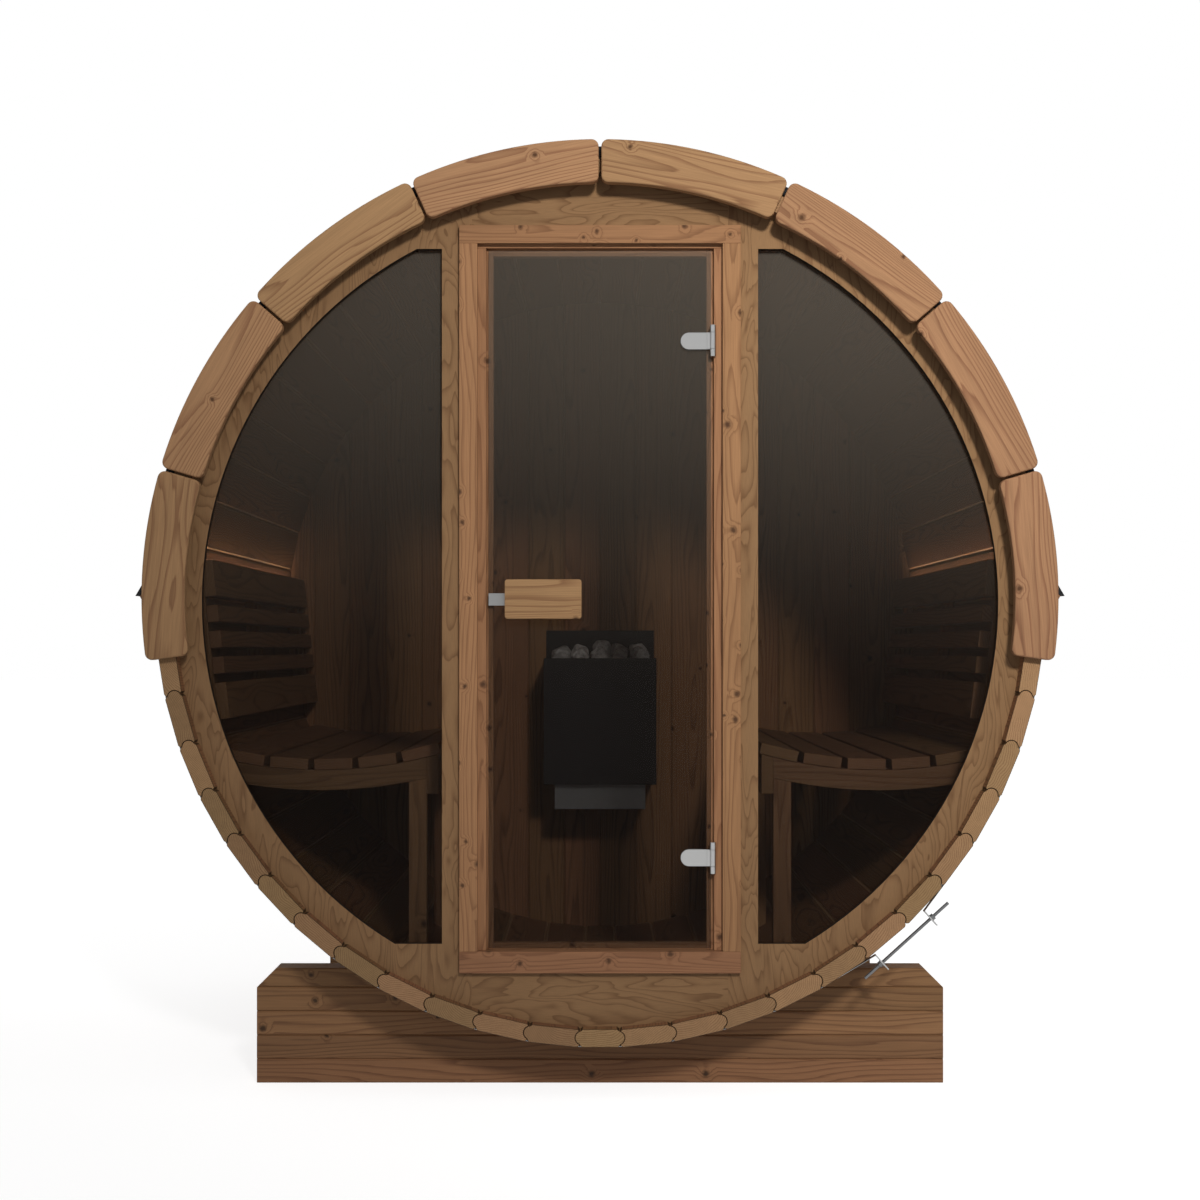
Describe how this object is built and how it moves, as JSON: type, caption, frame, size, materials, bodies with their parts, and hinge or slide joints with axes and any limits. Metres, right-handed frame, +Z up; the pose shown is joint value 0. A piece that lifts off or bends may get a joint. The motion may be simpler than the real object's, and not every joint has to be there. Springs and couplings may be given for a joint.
{
  "type": "barrel sauna",
  "caption": "Round timber sauna cabin of coved staves in two cradles, with a plywood front, tinted side windows, a hinged glass door, hollow benches, backrests and a stone heater.",
  "frame": {"origin": "bottom centre of the bounding box, on the ground between the cradles", "axes": "+Z up, the door front faces -Y, +X to the right as seen from the front; the barrel's axis runs along Y"},
  "size_m": [2.088, 1.856, 2.1564],
  "materials": {
    "stave_wood": "planed thermally treated spruce",
    "trim_wood": "planed thermally treated spruce",
    "plywood": "oiled plywood",
    "bench_wood": "planed thermally treated aspen",
    "cradle_wood": "dark stained pine",
    "tinted_glass": "bronze tinted toughened glass",
    "stainless_steel": "satin",
    "black_steel": "matt heat-proof paint",
    "grey_steel": "bare galvanised sheet",
    "bitumen_shingle": "mineral grit",
    "heater_stone": "rough split rock"
  },
  "bodies": {
    "cabin": {"key_stave": "stave_wood", "left_floor_staves": "stave_wood", "left_side_staves": "stave_wood", "left_roof_staves": "stave_wood", "right_floor_staves": "stave_wood", "right_side_staves": "stave_wood", "right_roof_staves": "stave_wood", "front_wall_left": "plywood", "front_wall_right": "plywood", "front_wall_header": "plywood", "front_wall_sill": "plywood", "left_window_glass": "tinted_glass", "right_window_glass": "tinted_glass", "rear_wall_boards": "stave_wood", "front_trim_boards": "trim_wood", "rear_trim_boards": "trim_wood", "left_roof_covering": "bitumen_shingle", "right_roof_covering": "bitumen_shingle", "eaves_battens": "cradle_wood", "front_strap": "stainless_steel", "rear_strap": "stainless_steel", "front_tensioner": "stainless_steel", "rear_tensioner": "stainless_steel", "front_cradle": "cradle_wood", "rear_cradle": "cradle_wood", "door_casing_head": "trim_wood", "door_casing_stiles": "trim_wood", "door_casing_rail": "trim_wood", "door_jamb_head": "trim_wood", "door_jamb_sides": "trim_wood", "door_jamb_sill": "trim_wood", "hinge_knuckles": "stainless_steel", "left_bench_slats": "bench_wood", "right_bench_slats": "bench_wood", "bench_joists": "bench_wood", "bench_legs": "bench_wood", "bench_fascias": "bench_wood", "left_backrest_slats": "bench_wood", "right_backrest_slats": "bench_wood", "backrest_battens": "bench_wood", "heater_shell": "black_steel", "heater_wall_plate": "black_steel", "heater_base": "grey_steel", "heater_stones": "heater_stone"},
    "door": {"door_glass": "tinted_glass", "outer_door_handle": "trim_wood", "inner_door_handle": "trim_wood", "door_latch_plate": "stainless_steel", "door_hinge_leaves": "stainless_steel"}
  },
  "joints": [
    {"name": "door_swing", "type": "hinge", "parent": "cabin", "child": "door", "pos_m": [0.25525, -0.8695, 1.122], "axis": [0, 0, 1], "range_deg": [0, 110]}
  ]
}
